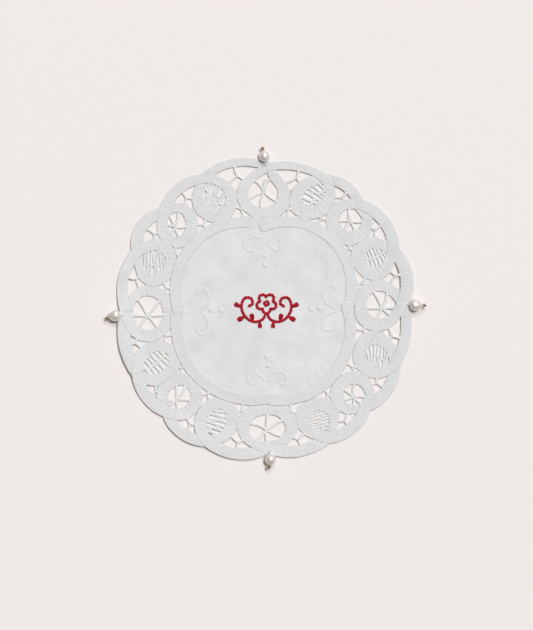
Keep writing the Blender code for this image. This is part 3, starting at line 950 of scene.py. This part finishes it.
def make_red_sprig(material):
    build = Build()
    bearings = np.linspace(0, 360, 200)
    petals = 3.1 + 1.9 * np.abs(np.sin(np.radians(PETALS * bearings / 2))) ** 0.8
    lines = [FLOWER_PLACE + polar(bearings, reach) for reach in (petals, np.ones(200))]
    stem = smooth_line(STEM, 0.3)[0]
    for mirror in ((1, 1), (-1, 1)):
        lines.append(stem * mirror)
        for leaf in LEAVES:
            satin_leaf(build, *(SPRIG_PLACE + np.array(leaf) * mirror))
    for line in lines:
        stem_stitch(build, line + SPRIG_PLACE)
    return build.piece("red_sprig", material, "red_thread")


# Pearls

def along_bearing(bearing, reach, aside, height):
    """Points at a reach along the bearing, aside of it clockwise, and at a height."""
    reach, aside, height = np.broadcast_arrays(reach, aside, height)
    return raised(polar(bearing, reach) + polar(bearing + 90, aside), height)


def make_pearl(pearl, material):
    """A slightly uneven freshwater pearl, drilled through, with its lowest bump on the table."""
    level = np.linspace(0.045, 0.955, 48)[:, None] * math.pi
    angle = turns_of(72)
    starts = random.uniform(0, math.tau, 4)
    bumps = (
        0.012 * np.sin(2 * angle + starts[0]) * np.sin(level)
        + 0.008 * np.sin(3 * angle + 2 * level + starts[1])
        + 0.005 * np.sin(5 * level + starts[2])
        + 0.003 * np.sin(17 * level + starts[3])
    )
    girth = 0.988 + pearl.taper * np.cos(level) + bumps
    radius = pearl.diameter / 2 * np.sin(level) * girth
    reach = pearl.reach - pearl.length / 2 * np.cos(level)
    placed = along_bearing(pearl.bearing, reach, radius * np.cos(angle), radius * np.sin(angle))
    placed[..., 2] -= placed[..., 2].min()
    return Build().tube(placed).piece(f"nacre_{pearl.name}", material, "pearl")


def make_bead(pearl, material):
    """A small glass bead with a hole along its axis and rounded rims."""
    angle, turn = turns_of(28), turns_of(20)[:, None]
    middle, half = (BEAD_DIAMETER / 2 + BEAD_HOLE) / 2, (BEAD_DIAMETER / 2 - BEAD_HOLE) / 2
    across, level = (
        np.sign(wave) * np.abs(wave) ** BEAD_SQUARENESS for wave in (np.cos(turn), np.sin(turn))
    )
    radius = middle + half * across
    reach = pearl.reach + (pearl.length + BEAD_LENGTH) / 2 + BEAD_GAP + BEAD_LENGTH / 2 * level
    height = pearl.diameter / 2 + radius * np.sin(angle)
    placed = along_bearing(pearl.bead_bearing, reach, radius * np.cos(angle), height)
    return Build().tube(placed, True).piece(f"glass_bead_{pearl.name}", material, "seed_bead")


def make_pearl_thread(pearl, material):
    """The thread from the lace through pearl and bead, and back round the bead."""
    start, end = pearl.reach - pearl.length / 2, pearl.reach + pearl.length / 2
    tip, height = end + BEAD_GAP + BEAD_LENGTH, pearl.diameter / 2
    build = Build()

    def lay(bearing, stations, step, radius):
        line = along_bearing(bearing, *np.transpose(stations))
        strand(build, smooth_line(line, step)[0], radius)

    for shift in (-0.25, 0.25):
        lay(pearl.bearing, [
            (start - 2.6, 3 * shift, 0.6), (start - 1.6, 3 * shift, 1.7),
            (start - 0.5, shift, height - 0.3), (start + 0.6, 0, height),
        ], 0.2, 0.13)
    lay(pearl.bead_bearing, [
        (end - 0.5, 0, height), (end + 0.3, 0, height), (tip, 0, height),
        (tip + 0.3, 0.25, height + 0.1), (tip + 0.1, 0.75, height + 0.15),
        (tip - 0.7, 0.98, height + 0.1), (end + 0.1, 0.5, height + 0.05), (end - 0.4, 0, height),
    ], 0.12, 0.12)
    return build.piece(f"pearl_thread_{pearl.name}", material, "lace_tape")


# Materials

class Shading:
    """A new material and its nodes, whose lengths are in millimetres."""

    def __init__(self, name, roughness, **constants):
        self.material = bpy.data.materials.new(name)
        self.material.use_nodes = True
        self.tree = self.material.node_tree
        self.shader = self.tree.nodes["Principled BSDF"]
        for key, value in {"Roughness": roughness, **constants}.items():
            self.shader.inputs[key.replace("_", " ")].default_value = value

    def node(self, kind, inputs, output=0, **settings):
        made = self.tree.nodes.new("ShaderNode" + kind)
        for name, value in settings.items():
            setattr(made, name, value)
        for key, value in inputs.items():
            if isinstance(value, bpy.types.NodeSocket):
                self.tree.links.new(value, made.inputs[key])
            else:
                made.inputs[key].default_value = value
        return made.outputs[output]

    def calculate(self, operation, *values):
        return self.node("Math", dict(enumerate(values)), operation=operation)

    def total(self, *shares, start=0.0):
        """The start and each value times its weight, added up."""
        for value, weight in shares:
            start = self.calculate("MULTIPLY_ADD", value, weight, start)
        return start

    def place(self, stretch=(1, 1, 1)):
        """The place on the piece, stretched along each axis."""
        place = self.node("TexCoord", {}, "Object")
        scale = tuple(share / MM for share in stretch)
        return self.node("Mapping", {"Vector": place, "Scale": scale})

    def noise(self, scale, detail=2.0, roughness=0.5, stretch=(1, 1, 1), output=0):
        inputs = {"Scale": scale, "Detail": detail, "Roughness": roughness}
        return self.node("TexNoise", {"Vector": self.place(stretch), **inputs}, output)

    def weave(self, vector, pitch):
        """Threads of one pitch passing over and under each other, from 0 to 1."""
        ridges, cells = [], []
        for axis in (0, 1):
            turn = self.calculate("DIVIDE", self.node("SeparateXYZ", {0: vector}, axis), pitch)
            wave = self.calculate("SINE", self.calculate("MULTIPLY", turn, math.pi))
            ridges.append(self.calculate("ABSOLUTE", wave))
            cells.append(self.calculate("FLOOR", turn))
        parity = self.calculate("PINGPONG", self.calculate("ADD", *cells), 1.0)
        return self.node("Mix", {0: parity, 2: ridges[1], 3: ridges[0]})

    def finish(self, tone, dark, light, relief=None, depth=0.0):
        """Colours the surface from dark to light by tone, and raises it by relief."""
        colours = {6: (*dark, 1), 7: (*light, 1)}
        colour = self.node("Mix", {0: tone, **colours}, 2, data_type="RGBA")
        self.tree.links.new(colour, self.shader.inputs["Base Color"])
        if relief is not None:
            normal = self.node("Bump", {"Height": relief, "Distance": depth * MM, "Strength": 1.0})
            self.tree.links.new(normal, self.shader.inputs["Normal"])
        return self.material


# Light goes some way through thin white cloth and comes out beside or under it.
THIN_COTTON = {
    "Subsurface_Weight": 0.7, "Subsurface_Radius": (1.0, 0.95, 0.9), "Subsurface_Scale": 0.2 * MM,
}
FINE_COTTON = {**THIN_COTTON, "Subsurface_Scale": 0.05 * MM}
SOFT_SHEEN = {"Sheen_Weight": 0.12, "Sheen_Roughness": 0.5}
THREAD_PITCH = 0.34
LINEN_THREAD_PITCH = 0.42
SLUBS = (2.4, 0.10, 1), (0.10, 2.4, 1)  # noise stretched along either thread


def cotton_tape_material():
    made = Shading("woven cotton tape", 0.9, **SOFT_SHEEN, **THIN_COTTON)
    threads = made.node("Attribute", {}, "Vector", attribute_name="threads")
    weave = made.weave(threads, THREAD_PITCH)
    fibre, crumple = made.noise(2.2, 3.0, 0.6), made.noise(0.7, 3.0)
    relief = made.total((weave, 1.0), (fibre, 1.0), (crumple, 4.0))
    cloud, mottle = made.noise(0.16), made.noise(1.1, 3.0)
    # Painted shade: the weave term darkens the gaps between threads and lightens their crowns, as
    # the bump does; the clouds and mottle are the cloth's own random tone.
    tone = made.total((weave, 0.35), (cloud, 1.0), (mottle, 0.8), start=-0.4)
    return made.finish(tone, (0.740, 0.738, 0.740), (0.810, 0.808, 0.810), relief, 0.05)


def cotton_thread_material():
    made = Shading("twisted cotton thread", 0.8, **SOFT_SHEEN, **FINE_COTTON)
    fibre = made.noise(3.5, 3.0, 0.6)
    return made.finish(fibre, (0.790, 0.790, 0.785), (0.855, 0.854, 0.848), fibre, 0.05)


def satin_floss_material():
    made = Shading(
        "white embroidery floss", 0.7, Sheen_Weight=0.12, Sheen_Roughness=0.4, **THIN_COTTON
    )
    fibre = made.noise(4.2, 3.0, 0.6)
    return made.finish(fibre, (0.735, 0.737, 0.740), (0.800, 0.802, 0.805), fibre, 0.03)


def linen_material():
    """Linen with slubs, thicker places in single threads, both ways, and bent threads."""
    made = Shading("white linen", 0.85, Sheen_Weight=0.08, Sheen_Roughness=0.5, **THIN_COTTON)
    bend = made.noise(0.35, output="Color")
    bent = made.node("VectorMath", {0: made.place(), 1: bend}, operation="ADD")
    slubs = made.total(*((made.noise(1.0, stretch=stretch), 1.0) for stretch in SLUBS))
    weave = made.weave(bent, LINEN_THREAD_PITCH)
    crumple, cloud = made.noise(0.3, 3.0), made.noise(0.09)
    relief = made.total((weave, 1.0), (slubs, 1.0), (crumple, 4.0))
    tone = made.total((slubs, 0.42), (cloud, 2.1), start=-0.966)
    return made.finish(tone, (0.745, 0.747, 0.750), (0.838, 0.840, 0.843), relief, 0.04)


def red_floss_material():
    made = Shading("crimson embroidery floss", 0.55, Specular_IOR_Level=0.2)
    tone = made.total((made.noise(0.9), 3.0), start=-1.0)
    fibre = made.noise(3.2, 3.0, 0.65)
    return made.finish(tone, (0.24, 0.001, 0.008), (0.58, 0.010, 0.030), fibre, 0.05)


def pearl_material():
    made = Shading(
        "cream nacre", 0.42, Metallic=0.45, Coat_Weight=1.0, Coat_Roughness=0.14, Coat_IOR=1.7
    )
    cloud, dimples = made.noise(0.35, 3.0), made.noise(0.9)
    return made.finish(cloud, (0.80, 0.735, 0.665), (0.92, 0.885, 0.85), dimples, 0.03)


def bronze_material():
    made = Shading("bronze glass", 0.25, Metallic=0.7, Coat_Weight=0.5)
    return made.finish(made.noise(1.1), (0.09, 0.045, 0.02), (0.42, 0.26, 0.11))


# Studio

# The key lamp is small and bright. The softbox is a wide low panel, far off: it softens the
# shadows and makes the broad lights on the pearls. Its distance and size are in metres.
KEY = {"strength": 2.13, "colour": (0.925, 0.965, 1.0), "bearing": 50, "elevation": 65}
KEY_SPREAD = 11
SOFTBOX = {
    "strength": 1.06 * math.pi * 25.0**2, "colour": (0.98, 0.99, 1.0),
    "bearing": 10, "elevation": 52, "distance": 25.0,
}
SOFTBOX_SIZE = 16.0, 7.5
FILL_COLOUR = (0.19, 0.155, 0.13)
FLOOR_COLOUR = (0.868, 0.828, 0.805)
FLOOR_HALF = 0.9  # metres from its middle to each side
FLOOR_GAP = 0.02  # under the doily
VIEW_CENTRE = (0.75, -3.5)
VIEW_LENGTH = 315  # what the photograph shows of the table from top to bottom


def add_lamp(name, kind, strength, colour, bearing, elevation, distance=1.0):
    """A lamp that shines at the doily's centre."""
    light = bpy.data.lights.new(name, kind)
    light.energy, light.color = strength, colour
    up = math.radians(elevation)
    towards = Vector((*polar(bearing, math.cos(up)), math.sin(up)))
    lamp = link(name, light)
    lamp.location = towards * distance
    lamp.rotation_euler = towards.to_track_quat("Z", "Y").to_euler()
    return light


def make_studio():
    mesh = bpy.data.meshes.new("floor")
    corners = [(x * FLOOR_HALF, y * FLOOR_HALF, 0) for x, y in ((-1, -1), (1, -1), (1, 1), (-1, 1))]
    mesh.from_pydata(corners, [], [(0, 1, 2, 3)])
    paint = Shading("pale studio floor", 0.9, Base_Color=(*FLOOR_COLOUR, 1))
    mesh.materials.append(paint.material)
    floor = link("floor", mesh)
    floor.location.z = -FLOOR_GAP * MM

    add_lamp("key", "SUN", **KEY).angle = math.radians(KEY_SPREAD)
    softbox = add_lamp("softbox", "AREA", **SOFTBOX)
    softbox.shape = "RECTANGLE"
    softbox.size, softbox.size_y = SOFTBOX_SIZE

    world = bpy.data.worlds.new("soft fill")
    world.use_nodes = True
    world.node_tree.nodes["Background"].inputs["Color"].default_value = (*FILL_COLOUR, 1)
    bpy.context.scene.world = world
    bpy.context.scene.view_settings.view_transform = "Standard"


def make_camera():
    """Straight above, with the doily where the photograph shows it."""
    view = bpy.data.cameras.new("camera")
    view.lens, view.sensor_width = 100, 36
    camera = link("camera", view)
    camera.location = (*VIEW_CENTRE, VIEW_LENGTH * view.lens / view.sensor_width)
    camera.location *= MM
    bpy.context.scene.camera = camera


def main():
    make_studio()
    make_camera()
    tape, thread = cotton_tape_material(), cotton_thread_material()
    line, station_rows = smooth_line(tape_stations(), TAPE_STEP, closed=True)
    station_rows = station_rows[:-1].reshape(len(LOOPS), -1)
    line = loops_side_by_side(line, station_rows)
    lobes = [lobe_line(index, TAPE_STEP, FRAME_WIDTH / 2) for index in range(len(LOBES))]
    close_lace = line[np.linalg.norm(line[:, :2], axis=1) < FRAME_REACH]

    lace = make_lace_tape(line, station_rows, lobes, tape)
    needlework = make_needle_threads(thread)
    frame_tape = make_frame_tape(lobes, close_lace, tape)
    stitches = make_stitches(lobes, close_lace, thread)
    linen = make_linen(linen_material())
    white = make_white_embroidery(satin_floss_material())
    red = make_red_sprig(red_floss_material())
    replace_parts(lace, "looped_tape")
    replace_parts(frame_tape, "inner_tape")
    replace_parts(linen, "linen_centre")

    nacre, bronze = pearl_material(), bronze_material()
    for pearl in PEARLS:
        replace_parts(make_pearl(pearl, nacre), f"pearl_{pearl.name}")
        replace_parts(make_bead(pearl, bronze), f"seed_bead_{pearl.name}")
        make_pearl_thread(pearl, thread)


main()
